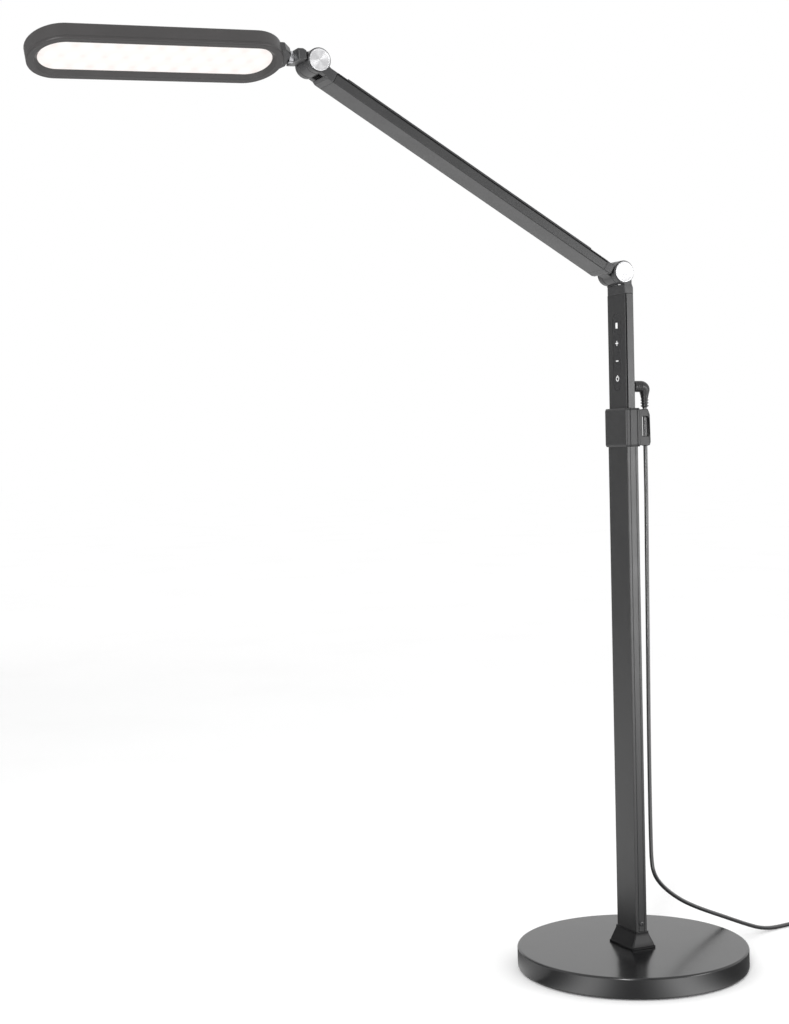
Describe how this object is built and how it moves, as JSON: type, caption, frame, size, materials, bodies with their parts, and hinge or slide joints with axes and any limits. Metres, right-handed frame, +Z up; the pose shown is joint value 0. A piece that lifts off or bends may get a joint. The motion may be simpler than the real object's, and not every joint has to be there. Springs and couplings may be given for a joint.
{
  "type": "pharmacy floor lamp",
  "caption": "Lamp with a weighted round foot, a telescopic mast with touch keys, a folding arm and a long flat LED head that tilts and rolls, with its lead and adapter.",
  "frame": {"origin": "centre of the round foot, on the floor", "axes": "+Z up along the mast, -X towards the lamp head, Y along the hinge axes; the touch keys face -X"},
  "size_m": [0.9361, 0.23, 0.894],
  "materials": {
    "rubber_pad": "matt foam rubber",
    "zinc_plate": "zinc-plated steel sheet",
    "cast_weight": "raw cast iron with a dark primer",
    "satin_black_lacquer": "satin black lacquer on pressed steel",
    "die_cast": "raw die casting",
    "steel_hardware": "oiled steel",
    "black_abs": "fine-textured moulded ABS",
    "nylon": "natural nylon",
    "dark_anodised": "dark grey anodised extrusion, fine satin",
    "black_strip": "satin black cover strip",
    "icon_white": "printed white key marks",
    "circuit_green": "solder mask",
    "socket_black": "moulded socket insert",
    "lead_black": "soft PVC, satin",
    "hinge_black": "satin black die casting",
    "spun_aluminium": "spun, fine concentric turning lines",
    "head_shell": "fine-textured moulded ABS",
    "head_rim": "smooth satin black rim",
    "diffuser": "frosted acrylic",
    "board_white": "white solder mask",
    "led_phosphor": "LED phosphor",
    "tie_black": "soft tie strap",
    "adapter_black": "textured moulded case",
    "nickel": "nickel-plated brass"
  },
  "bodies": {
    "base": {"floor_pad": "rubber_pad", "base_plate": "zinc_plate", "base_weight": "cast_weight", "base_cover": "satin_black_lacquer", "foot_block": "die_cast", "foot_bolts": "steel_hardware", "boot": "black_abs", "lower_tube": "dark_anodised", "tube_screws": "steel_hardware", "mast_bush": "black_abs", "collar": "black_abs", "friction_pad": "nylon", "cable_clip": "black_abs", "cord_lower": "lead_black", "cord_tail": "lead_black", "cord_coil": "lead_black", "coil_tie": "tie_black", "power_adapter": "adapter_black", "adapter_prongs": "nickel"},
    "mast": {"mast_channel": "dark_anodised", "control_strip": "black_strip", "touch_icons": "icon_white", "touch_board": "circuit_green", "slide_shoe": "black_abs", "jack_housing": "black_abs", "dc_jack": "socket_black", "dc_plug": "lead_black", "plug_relief": "lead_black", "mast_knuckle": "hinge_black", "elbow_axle": "steel_hardware", "elbow_cap": "spun_aluminium", "elbow_cap_rear": "spun_aluminium", "cord_upper": "lead_black"},
    "arm": {"elbow_washers": "nylon", "arm_channel": "dark_anodised", "arm_strip": "black_strip", "arm_elbow_knuckle": "hinge_black", "arm_head_knuckle": "hinge_black", "arm_lead": "lead_black", "head_axle": "steel_hardware", "head_cap": "spun_aluminium", "head_cap_rear": "spun_aluminium"},
    "neck": {"head_washers": "nylon", "neck": "hinge_black", "roll_shaft": "steel_hardware", "roll_nut": "steel_hardware"},
    "head": {"head_bracket": "hinge_black", "head_housing": "head_shell", "head_bezel": "head_rim", "heat_plate": "die_cast", "led_board": "board_white", "led_chips": "led_phosphor", "light_panel": "diffuser", "head_screws": "steel_hardware"}
  },
  "joints": [
    {"name": "mast_slide", "type": "slide", "parent": "base", "child": "mast", "axis": [0, 0, 1], "range_m": [0, 0.3]},
    {"name": "elbow_tilt", "type": "hinge", "parent": "mast", "child": "arm", "pos_m": [-0.0051, 0, 0.6908], "axis": [0, 1, 0], "range_deg": [-60, 60]},
    {"name": "head_tilt", "type": "hinge", "parent": "arm", "child": "neck", "pos_m": [-0.32276, 0, 0.8742], "axis": [0, 1, 0], "range_deg": [-90, 30]},
    {"name": "head_roll", "type": "hinge", "parent": "neck", "child": "head", "pos_m": [-0.32297, 0, 0.8793], "axis": [-0.9991, 0, -0.0419], "range_deg": [-112, 68]}
  ]
}
